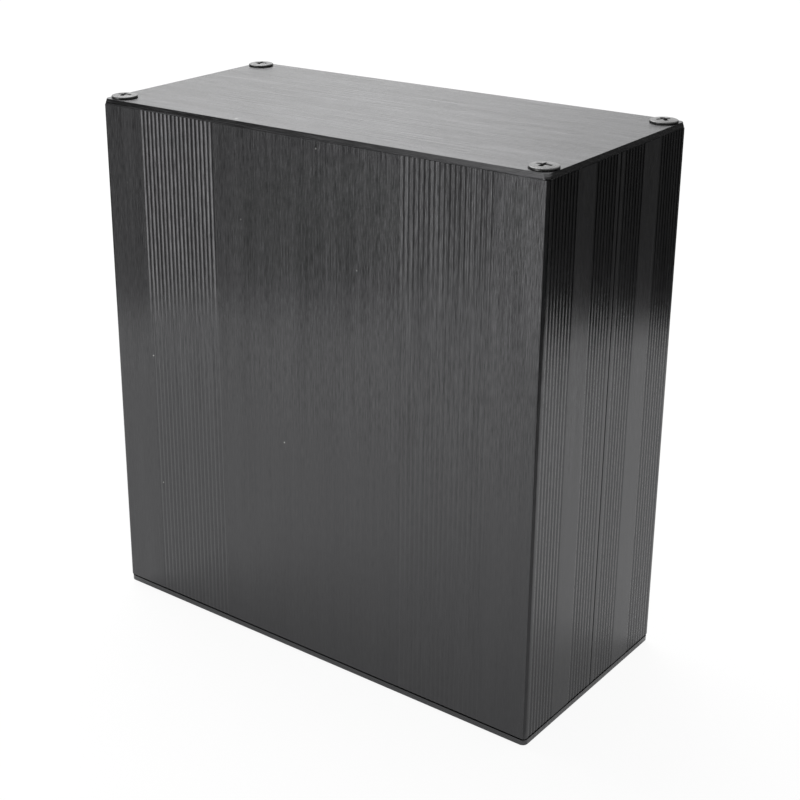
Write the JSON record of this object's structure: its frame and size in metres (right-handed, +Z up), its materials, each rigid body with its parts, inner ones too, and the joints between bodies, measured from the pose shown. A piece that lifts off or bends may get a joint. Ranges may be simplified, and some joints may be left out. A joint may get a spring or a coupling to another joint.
{
  "type": "project box",
  "caption": "Black anodised split-body aluminium enclosure: grooved extruded half shells with a side seam, closed by flat end plates held by cross-recess corner screws.",
  "frame": {"origin": "under the middle of the box, level with the undersides of the lower screw heads, on which it stands", "axes": "+Z up along the extrusion, X across the wide grooved faces, Y through the box from the front wide face to the rear one"},
  "size_m": [0.145, 0.068, 0.1554],
  "materials": {
    "front_shell": "black anodised, brushed along its length",
    "rear_shell": "black anodised, brushed along its length",
    "top_plate": "black anodised, brushed across its width",
    "bottom_plate": "black anodised, brushed across its width",
    "screw": "black plated steel"
  },
  "bodies": {
    "root": {"front_half_shell": "front_shell", "rear_half_shell": "rear_shell", "top_end_plate": "top_plate", "bottom_end_plate": "bottom_plate", "screw_top_front_left": "screw", "screw_top_front_right": "screw", "screw_top_back_left": "screw", "screw_top_back_right": "screw", "screw_bottom_front_left": "screw", "screw_bottom_front_right": "screw", "screw_bottom_back_left": "screw", "screw_bottom_back_right": "screw"}
  },
  "joints": []
}
